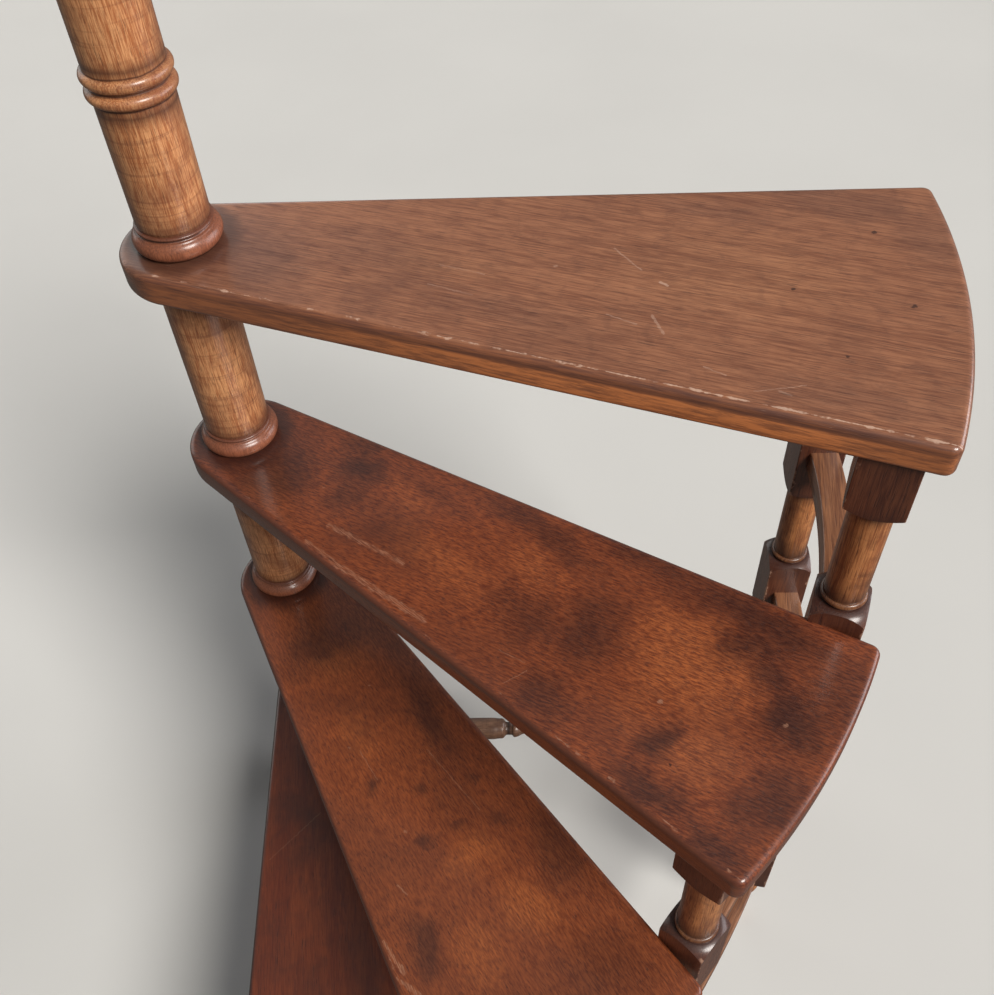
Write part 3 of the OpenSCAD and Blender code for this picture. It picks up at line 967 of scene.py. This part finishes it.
def makeTread(number):
    corner = treadShape["corner"]
    front = frontDirection(number)
    rear = rearDirection(number)
    cornerRadius = steps["radius"] - corner
    lean = degrees(asin((steps["hub"] - corner) / cornerRadius))
    base = Vector((0, 0, topHeight(number) - steps["thickness"]))
    middle = (front + rear) / 2
    endRadius = steps["hub"] + steps["hubShift"] * sin(radians(rear - middle))
    hubCentre = base + polar(steps["hubShift"], middle)
    frontCorner = base + polar(cornerRadius, front - lean)
    rearCorner = base + polar(cornerRadius, rear + lean)
    bm = bmesh.new()
    arcs = [
        addArc(bm, hubCentre, endRadius, rear + 90, front + 270, treadShape["hubParts"]),
        addArc(bm, frontCorner, corner, front - 90, front - lean, treadShape["cornerParts"]),
        addArc(bm, base, steps["radius"], front - lean, rear + lean, treadShape["rimParts"]),
        addArc(bm, rearCorner, corner, rear + lean, rear + 90, treadShape["cornerParts"]),
    ]
    for arc, following in zip(arcs, arcs[1:] + arcs[:1]):
        bmesh.ops.contextual_create(bm, geom=[arc[1], following[0]])
    bmesh.ops.remove_doubles(bm, verts=bm.verts[:], dist=mergeDistance)
    bmesh.ops.contextual_create(bm, geom=bm.edges[:])
    made = bmesh.ops.extrude_face_region(bm, geom=bm.faces[:])
    lifted = ofKind(made["geom"], bmesh.types.BMVert)
    bmesh.ops.translate(bm, verts=lifted, vec=(0, 0, steps["thickness"]))
    level = [edge for edge in bm.edges if rise(edge) < steps["thickness"] / 2]
    roundOver(bm, level, treadShape["edge"], treadShape["edgeSegments"])
    bmesh.ops.recalc_face_normals(bm, faces=bm.faces[:])
    flat = [face for face in bm.faces if abs(face.normal.z) > 0.999]
    bmesh.ops.inset_individual(bm, faces=flat, thickness=treadShape["flatBorder"])
    return finishPiece(bm, f"tread{number}", f"tread_{number}", makeTreadMaterial(number))


treads = {number: makeTread(number) for number in range(1, steps["count"] + 1)}
print("treads made")

# Pole: sections with a collar at the foot, and a post with a double ring
pole = {
    "collar": 0.034,
    "collarHeight": 0.016,
    "collarEnd": 62,
    "hollowLift": 0.0006,
    "hollowOut": 0.0004,
    "filletOut": 0.0016,
    "filletLow": 0.0180,
    "filletHigh": 0.0206,
    "filletFade": 0.003,
    "grooveDepth": 0.0006,
    "endArris": 0.0004,
    "collarStain": (-0.001, 0.021),
    # Stain in the grooves, and painted shade under the tread above: distance, reach and strength
    "collarGrooves": [(0, 0.005, 0.8), (0.0175, 0.004, 1.0), (0.0215, 0.018, 0.75)],
    "shadeUnderTread": [(0, 0.018, 0.6)],
    "postGrooves": [(0, 0.0024, 1.0), (0.0112, 0.003, 1.0), (0.0165, 0.012, 0.8)],
    "upperGrooves": [(0, 0.0024, 1.0), (0.0112, 0.003, 1.0), (0.0155, 0.012, 0.75)],
    "topGrooves": [(0, 0.004, 0.9), (0.012, 0.003, 0.9), (0.023, 0.012, 0.8)],
    "ring": 0.130,
    "ringOut": 0.0035,
    "ringPitch": 0.012,
    "ringBead": 0.0045,
    "upper": 0.515,
}


def collarProfile(base):
    bead = pole["collarHeight"] / 2
    core = steps["pole"] - pole["grooveDepth"]
    profile = [(0, base)]
    addRound(profile, pole["collar"] - bead, base + bead, bead, -90, pole["collarEnd"], 18)
    addSweep(profile, core + pole["hollowOut"], base + pole["collarHeight"] + pole["hollowLift"], 6)
    profile.append((core, base + pole["filletLow"]))
    addBead(profile, core, pole["filletOut"] + pole["grooveDepth"], base + pole["filletHigh"])
    profile.append((core, base + pole["filletHigh"] + pole["grooveDepth"]))
    addSweep(profile, steps["pole"], base + pole["filletHigh"] + pole["filletFade"], 5)
    return profile


def groovesAt(height, grooves, side=1):
    return [(height + side * distance, reach, strength) for distance, reach, strength in grooves]


def collarStain(base):
    return [tuple(base + height for height in pole["collarStain"])]


def addPoleTop(profile, top):
    profile.append((steps["pole"], top - pole["endArris"]))
    profile.append((steps["pole"] - pole["endArris"], top))
    profile.append((0, top))


def addRing(profile, middle):
    size = pole["ringBead"]
    centre = steps["pole"] + pole["ringOut"] - size
    reach = degrees(atan2(sqrt(size ** 2 - (steps["pole"] - centre) ** 2), steps["pole"] - centre))
    addRound(profile, centre, middle, size, -reach, reach, 14)


def finishPole(profile, name, node, wood, grooves, stained=()):
    material = makeTurnedMaterial(wood, (0, 0, 0), (0, -90, 0), grooves, stained)
    finishPiece(turnOnLathe(profile), name, node, material)


def makePole():
    section = steps["riser"] - steps["thickness"]
    names = ["pole_foot", "pole_section_1", "pole_section_2", "pole_section_3"]
    for number, node in enumerate(names):
        base = topHeight(number)
        profile = collarProfile(base)
        addPoleTop(profile, base + section)
        grooves = groovesAt(base, pole["collarGrooves"])
        # Painted shade at the top of each section, just under the next tread
        grooves += groovesAt(base + section, pole["shadeUnderTread"])
        wood = f"poleWood{number}"
        finishPole(profile, f"poleSection{number}", node, wood, grooves, collarStain(base))
    base = topHeight(steps["count"])
    joint = base + pole["ring"]
    profile = collarProfile(base)
    addRing(profile, joint - pole["ringPitch"] / 2)
    addPoleTop(profile, joint)
    grooves = groovesAt(base, pole["collarGrooves"]) + groovesAt(joint, pole["postGrooves"], -1)
    finishPole(profile, "polePost", "pole_post", "postWood", grooves, collarStain(base))
    top = joint + pole["upper"]
    profile = [(0, joint), (steps["pole"] - pole["endArris"], joint)]
    addRing(profile, joint + pole["ringPitch"] / 2)
    addRing(profile, top - 1.5 * pole["ringPitch"])
    addRing(profile, top - 0.5 * pole["ringPitch"])
    addPoleTop(profile, top)
    grooves = groovesAt(joint, pole["upperGrooves"]) + groovesAt(top, pole["topGrooves"], -1)
    finishPole(profile, "poleUpper", "pole_upper", "upperWood", grooves)
    return top


poleTop = makePole()

# Finial: a disc, a hollow neck and a ball with a button
finial = {
    "disc": 0.024,
    "discHeight": 0.008,
    "neck": 0.015,
    "neckHeight": 0.010,
    "ball": 0.030,
    "button": 0.008,
    "flare": (0.001, 0.0004),
    "hollow": (-0.0012, 0.004),
    "footGrooves": [(0, 0.004, 0.9), (0.010, 0.006, 0.9)],
    "ballGrooves": [(-0.026, 0.007, 0.9), (0.0295, 0.004, 0.9)],
}


def makeFinial(base):
    ballSink = finial["ball"] - sqrt(finial["ball"] ** 2 - finial["neck"] ** 2)
    ballMiddle = base + finial["discHeight"] + finial["neckHeight"] + finial["ball"] - ballSink
    low = degrees(asin(finial["neck"] / finial["ball"])) - 90
    high = degrees(atan2(sqrt(finial["ball"] ** 2 - finial["button"] ** 2), finial["button"]))
    profile = [(0, base)]
    half = finial["discHeight"] / 2
    addRound(profile, finial["disc"] - half, base + half, half, -90, 90, 12)
    discTop = base + finial["discHeight"]
    out, above = finial["flare"]
    profile.append((finial["neck"] + out, discTop + above))
    out, above = finial["hollow"]
    addSweep(profile, finial["neck"] + out, discTop + above, 5)
    addSweep(profile, finial["neck"], discTop + finial["neckHeight"], 6)
    addRound(profile, 0, ballMiddle, finial["ball"], low, high, 28)
    addRound(profile, 0, ballMiddle + finial["ball"], finial["button"], -10, 90, 12)
    grooves = groovesAt(base, finial["footGrooves"]) + groovesAt(ballMiddle, finial["ballGrooves"])
    finishPole(profile, "finialBall", "finial", "finialWood", grooves)


makeFinial(poleTop)
print("pole made")

# Legs: turned shafts and feet with square blocks, which are housed to the treads
leg = {
    "inset": 0.038,
    "setback": 0.005,
    "rearInset": 0.052,
    "rearSetback": 0.025,
    "block": 0.041,
    "blockArris": 0.0009,
    "shaft": 0.01575,
    "corner": 0.030,
    "domeTop": 0.0175,
    "domeHeight": 0.011,
    "domeBulge": 0.0022,
    "shoulder": 0.009,
    "ringGap": 0.0015,
    "ringHeight": 0.0055,
    "ringOut": 0.0017,
    "foot": 0.055,
    "toe": 0.010,
    "toeArris": 0.0006,
    "toeTop": 0.011,
    "toeHeight": 0.010,
    "swell": 0.016,
    "swellDrop": 0.025,
    "swellRise": 0.040,
    "ankle": 0.012,
    "ankleDrop": 0.011,
    "beadDrop": 0.0075,
    "footNeck": 0.0135,
    "footBead": 0.0035,
    "beadGap": 0.0005,
    "grooveDepth": 0.0005,
    "ringFade": 0.003,
    "sharpAngle": 30,
    "arrisSegments": 3,
    "parts": 80,
}
# Small differences between the legs: how far one stands out and back, and how far its blocks go
legMoves = {3: {"out": 0.003, "back": 0.003}}
blockMoves = {3: {"above": 0, "below": -0.005}, 4: {"above": -0.009, "below": 0.005}}


def legRadius(number):
    inset = leg["rearInset"] if number == rearLeg else leg["inset"]
    return steps["radius"] - inset + legMoves.get(number, {}).get("out", 0)


def legDirection(number):
    return rearDirection(steps["count"]) if number == rearLeg else frontDirection(number)


def legAngle(number):
    front = leg["setback"] + legMoves.get(number, {}).get("back", 0) + leg["block"] / 2 - steps["hub"]
    rear = steps["hub"] - leg["rearSetback"] - leg["block"] / 2
    offset = rear if number == rearLeg else front
    return legDirection(number) + degrees(asin(offset / legRadius(number)))


def legCentre(number):
    return polar(legRadius(number), legAngle(number))


def blockAbove(number):
    return steps["blockAbove"] + blockMoves.get(number, {}).get("above", 0)


def blockBelow(number):
    return steps["blockBelow"] + blockMoves.get(number, {}).get("below", 0)


def hasStretcher(number):
    return number in (1, rearLeg)


def footHeight(number):
    return leg["foot"] if hasStretcher(number) else topHeight(1) - blockBelow(number)


def addDome(profile, top, parts=12):
    for part in range(parts + 1):
        share = part / parts
        radius = leg["corner"] + (leg["domeTop"] - leg["corner"]) * share
        height = top - leg["domeHeight"] * (1 - share) + leg["domeBulge"] * sin(pi * share)
        profile.append((radius, height))


def addShaft(profile, low, high):
    groove = leg["shaft"] - leg["grooveDepth"]
    ringTop = low + leg["ringGap"] + leg["ringHeight"]
    profile.append((groove, low))
    profile.append((groove, low + leg["ringGap"]))
    addBead(profile, groove, leg["ringOut"] + leg["grooveDepth"], ringTop)
    addSweep(profile, leg["shaft"], ringTop + leg["ringFade"], 5)
    profile.append((leg["shaft"], high))


def legProfile(number):
    levels = min(number, steps["count"]) - 1
    top = topHeight(min(number, steps["count"])) - steps["thickness"]
    above = blockAbove(number)
    below = blockBelow(number)
    ankle = footHeight(number)
    swell = ankle - leg["swellDrop"]
    profile = [(0, 0), (leg["toe"] - leg["toeArris"], 0), (leg["toe"], leg["toeArris"])]
    addSweep(profile, leg["toeTop"], max(leg["toeHeight"], swell - leg["swellRise"]), 6)
    addSweep(profile, leg["swell"], swell, 14)
    addSweep(profile, leg["ankle"], ankle - leg["ankleDrop"], 8)
    profile.append((leg["ankle"], ankle - leg["beadDrop"]))
    addBead(profile, leg["footNeck"], leg["footBead"], ankle - leg["beadGap"])
    profile.append((leg["footNeck"], ankle))
    if hasStretcher(number):
        profile.append((leg["corner"], ankle))
    else:
        profile.append((leg["shaft"], ankle))
        profile.append((leg["corner"], ankle + leg["shoulder"]))
    for level in range(1, levels + 1):
        addDome(profile, topHeight(level) + above)
        high = topHeight(level + 1) - below
        addShaft(profile, topHeight(level) + above, high)
        profile.append((leg["corner"], high + leg["shoulder"]))
    profile.append((leg["corner"], top))
    profile.append((0, top))
    return profile


def makePrism(height, overshoot=0.01):
    bm = bmesh.new()
    bmesh.ops.create_cube(bm, size=1)
    bmesh.ops.scale(bm, vec=(leg["block"], leg["block"], height + 2 * overshoot), verts=bm.verts[:])
    bmesh.ops.translate(bm, vec=(0, 0, height / 2), verts=bm.verts[:])
    upright = [edge for edge in bm.edges if rise(edge) > height / 2]
    roundOver(bm, upright, leg["blockArris"], leg["arrisSegments"])
    return makeObject(bm, "blockPrism")


def cutPiece(piece, operation, tool):
    cutter = piece.modifiers.new(operation.lower(), "BOOLEAN")
    cutter.operation = operation
    cutter.solver = "EXACT"
    cutter.object = tool
    graph = bpy.context.evaluated_depsgraph_get()
    cut = bpy.data.meshes.new_from_object(piece.evaluated_get(graph))
    piece.modifiers.clear()
    piece.data = cut


def makeLeg(number):
    place = Matrix.Translation(legCentre(number))
    place = place @ Matrix.Rotation(radians(legDirection(number)), 4, "Z")
    top = topHeight(min(number, steps["count"])) - steps["thickness"]
    turned = makeObject(turnOnLathe(legProfile(number), leg["parts"]), "turnedLeg")
    prism = makePrism(top)
    cutPiece(turned, "INTERSECT", prism)
    turned.data.transform(place)
    if 1 < number < rearLeg:
        cutPiece(turned, "DIFFERENCE", treads[number - 1])
    bm = bmesh.new()
    bm.from_mesh(turned.data)
    bpy.data.objects.remove(turned)
    bpy.data.objects.remove(prism)
    material = makeLegMaterial(number)
    finishPiece(bm, f"leg{number}", f"leg_{number}", material, leg["sharpAngle"])


for legNumber in range(1, rearLeg + 1):
    makeLeg(legNumber)
print("legs made")

# Rails: curved bars between neighbouring legs, with softened edges. All but the rear ones are
# straighter, by a larger radius.
rail = {
    "width": 0.025,
    "height": 0.022,
    "softening": 0.0015,
    "softSegments": 3,
    "straighter": 2,
    "parts": 40,
}
railNodes = {
    "rail_rear_3": (4, 3),
    "rail_rear_2": (4, 2),
    "rail_rear_1": (4, 1),
    "rail_middle_2": (3, 2),
    "rail_middle_1": (3, 1),
    "rail_front_1": (2, 1),
}


def makeRail(node, number, level):
    start = legCentre(number)
    end = legCentre(number + 1)
    span = end - start
    radius = (steps["radius"] - leg["inset"]) * (1 if number == steps["count"] else rail["straighter"])
    sideways = Vector((-span.y, span.x, 0)).normalized()
    centre = start + span / 2 + sideways * sqrt(radius ** 2 - (span.length / 2) ** 2)
    height = topHeight(level) + (steps["blockAbove"] - steps["blockBelow"]) / 2
    outward = (start - centre).normalized()
    turn = (start - centre).xy.angle_signed((end - centre).xy)
    bm = bmesh.new()
    bmesh.ops.create_grid(bm, x_segments=1, y_segments=1, size=0.5)
    bmesh.ops.scale(bm, vec=(rail["width"], rail["height"], 1), verts=bm.verts[:])
    roundOver(bm, bm.verts[:], rail["softening"], rail["softSegments"], affect="VERTICES")
    place = Matrix.Translation(start + Vector((0, 0, height)))
    place = place @ Matrix.Rotation(atan2(outward.y, outward.x), 4, "Z")
    place = place @ Matrix.Rotation(pi / 2, 4, "X")
    bmesh.ops.transform(bm, matrix=place, verts=bm.verts[:])
    bmesh.ops.spin(
        bm, geom=everything(bm), cent=centre, axis=(0, 0, 1), angle=-turn, steps=rail["parts"],
    )
    bmesh.ops.recalc_face_normals(bm, faces=bm.faces[:])
    for legNumber, side in ((number, 1), (number + 1, -1)):
        facing = polar(1, legDirection(legNumber) + 90) * side
        edge = legCentre(legNumber) + facing * leg["block"] / 2
        cut = bmesh.ops.bisect_plane(
            bm, geom=everything(bm), plane_co=edge, plane_no=facing, clear_inner=True,
        )
        bmesh.ops.contextual_create(bm, geom=ofKind(cut["geom_cut"], bmesh.types.BMEdge))
    name = "".join(part.capitalize() for part in node.split("_"))
    material = makeRailMaterial(f"railWood{name}", start, degrees(atan2(span.y, span.x)))
    finishPiece(bm, name[0].lower() + name[1:], node, material)


for railNode, (railLeg, railLevel) in railNodes.items():
    makeRail(railNode, railLeg, railLevel)
print("rails made")

# Low turned stretchers from the pole to the first and the last leg, in greyer and darker wood
stretcherLook = {
    "dark": (0.022, 0.010, 0.007, 1),
    "middle": (0.170, 0.078, 0.042, 1),
    "light": (0.300, 0.160, 0.095, 1),
    "stained": (0.085, 0.038, 0.024, 1),
}
stretcher = {
    "bead": 0.011,
    "beadArris": 0.0005,
    "beadHalf": 0.002,
    "turnings": [
        (0.0065, 0.0080, 8), (0.0067, 0.0180, 3), (0.0110, 0.0325, 10), (0.0080, 0.0360, 5),
        (0.0080, 0.0415, 1), (0.0125, 0.0480, 6), (0.0135, 0.0620, 6),
    ],
    "taper": (0.0099, 0.020, 24),
    "end": 0.0095,
    "darkRings": (0.008, 0.039),
    "ringStain": (0.008, 1.0),
    "sinkInPole": 0.0018,
    "sinkInLeg": 0.0006,
    "parts": 56,
}


# One half from the middle outwards: each turning sweeps to a radius and a distance from the middle
def stretcherHalf(half):
    profile = [(stretcher["bead"] - stretcher["beadArris"], 0)]
    profile.append((stretcher["bead"], stretcher["beadHalf"]))
    for radius, distance, parts in stretcher["turnings"]:
        addSweep(profile, radius, distance, parts)
    radius, fromEnd, parts = stretcher["taper"]
    addSweep(profile, radius, half - fromEnd, parts)
    profile.append((stretcher["end"], half))
    return profile


def makeStretcher(node, number):
    start = steps["pole"] - stretcher["sinkInPole"]
    end = legRadius(number) - leg["block"] / 2 + stretcher["sinkInLeg"]
    half = (end - start) / 2
    outer = stretcherHalf(half)
    inner = [(radius, -height) for radius, height in reversed(outer)]
    profile = [(0, -half)] + inner + outer[1:] + [(0, half)]
    bm = turnOnLathe(profile, stretcher["parts"])
    place = Matrix.Rotation(radians(legAngle(number)), 4, "Z")
    place = place @ Matrix.Translation(((start + end) / 2, 0, steps["lowRail"]))
    place = place @ Matrix.Rotation(pi / 2, 4, "Y")
    bmesh.ops.transform(bm, matrix=place, verts=bm.verts[:])
    middle = polar((start + end) / 2, legAngle(number))
    middle.z = steps["lowRail"]
    rings = [(distance, *stretcher["ringStain"]) for distance in (*stretcher["darkRings"], half)]
    grooves = groovesAt(0, rings) + groovesAt(0, rings, -1)
    name = "stretcher" + node.split("_")[1].capitalize()
    turn = (0, 0, legAngle(number))
    material = makeTurnedMaterial(name + "Wood", middle, turn, grooves, (), stretcherLook)
    finishPiece(bm, name, node, material)


makeStretcher("stretcher_rear", rearLeg)
makeStretcher("stretcher_front", 1)
print("stretchers made")

# Plain pale floor. The camera sees it paler than the light that it throws back on the steps.
floor = {
    "size": 160,
    "seen": (0.73, 0.725, 0.70, 1),
    "thrown": (0.13, 0.12, 0.11, 1),
    "toneNoise": (1.5, 4.0),
    "tone": (0.3, 0.7, 0.96, 1.0),
    "roughness": 0.9,
    "specular": 0.1,
}


def makeFloor():
    bm = bmesh.new()
    bmesh.ops.create_grid(bm, x_segments=1, y_segments=1, size=floor["size"] / 2)
    ground = makeObject(bm, "floor")
    material, tree, shader = newMaterial("paleFloor")
    place = addNode(tree, "TexCoord").outputs["Object"]
    tone = spread(tree, cloud(tree, place, *floor["toneNoise"]), *floor["tone"])
    colour = blendColour(tree, 1.0, floor["seen"], tone, "MULTIPLY")
    toCamera = addNode(tree, "LightPath").outputs["Is Camera Ray"]
    colour = blendColour(tree, toCamera, floor["thrown"], colour)
    tree.links.new(colour, shader.inputs["Base Color"])
    shader.inputs["Roughness"].default_value = floor["roughness"]
    shader.inputs["Specular IOR Level"].default_value = floor["specular"]
    ground.data.materials.append(material)


makeFloor()

# Soft light from the front right, weaker ones from the right and from behind, a dim surrounding
lamps = {
    "key": {"angle": -48, "rise": 43, "width": 26, "strength": 3.4, "colour": (1.0, 0.965, 0.92)},
    "side": {"angle": 10, "rise": 10, "width": 44, "strength": 1.5, "colour": (0.94, 0.95, 1.0)},
    "back": {"angle": 128, "rise": 8, "width": 60, "strength": 0.9, "colour": (1.0, 0.98, 0.95)},
}
lampDistance = 3
surrounding = {
    "lit": (0.045, 0.048, 0.052, 1),
    "seen": (0.62, 0.62, 0.60, 1),
    "mirrored": 0.2,
}


def makeLights():
    for name, lamp in lamps.items():
        light = bpy.data.lights.new(name, "SUN")
        light.energy = lamp["strength"]
        light.angle = radians(lamp["width"])
        light.color = lamp["colour"]
        made = bpy.data.objects.new(name, light)
        rising = radians(lamp["rise"])
        toLamp = polar(cos(rising), lamp["angle"]) + Vector((0, 0, sin(rising)))
        facing = toLamp.to_track_quat("Z", "Y").to_matrix().to_4x4()
        made.matrix_world = Matrix.Translation(toLamp * lampDistance) @ facing
        bpy.context.scene.collection.objects.link(made)
    world = bpy.data.worlds.new("paleSurrounding")
    world.use_nodes = True
    tree = world.node_tree
    background = tree.nodes["Background"]
    path = addNode(tree, "LightPath").outputs
    mirrored = times(tree, path["Is Glossy Ray"], surrounding["mirrored"])
    shown = calculate(tree, "MAXIMUM", path["Is Camera Ray"], mirrored)
    colour = blendColour(tree, shown, surrounding["lit"], surrounding["seen"])
    tree.links.new(colour, background.inputs["Color"])
    background.inputs["Strength"].default_value = 1.0
    bpy.context.scene.world = world


makeLights()

# Camera where the photograph was taken from, for a picture of 994 by 995
camera = {
    "place": (0.25603, -0.67847, 1.31651),
    "down": 49.1503,
    "turn": 2.5185,
    "roll": -3.6470,
    "lens": 38.952,
    "sensor": 36,
    "nearest": 0.02,
}


def makeCamera():
    data = bpy.data.cameras.new("camera")
    data.lens = camera["lens"]
    data.sensor_fit = "HORIZONTAL"
    data.sensor_width = camera["sensor"]
    data.clip_start = camera["nearest"]
    made = bpy.data.objects.new("camera", data)
    place = Matrix.Translation(camera["place"]) @ Matrix.Rotation(radians(camera["turn"]), 4, "Z")
    place = place @ Matrix.Rotation(radians(90 - camera["down"]), 4, "X")
    made.matrix_world = place @ Matrix.Rotation(radians(camera["roll"]), 4, "Z")
    bpy.context.scene.collection.objects.link(made)
    bpy.context.scene.camera = made


makeCamera()
bpy.context.scene.view_settings.view_transform = "Standard"
print("lights and camera set")
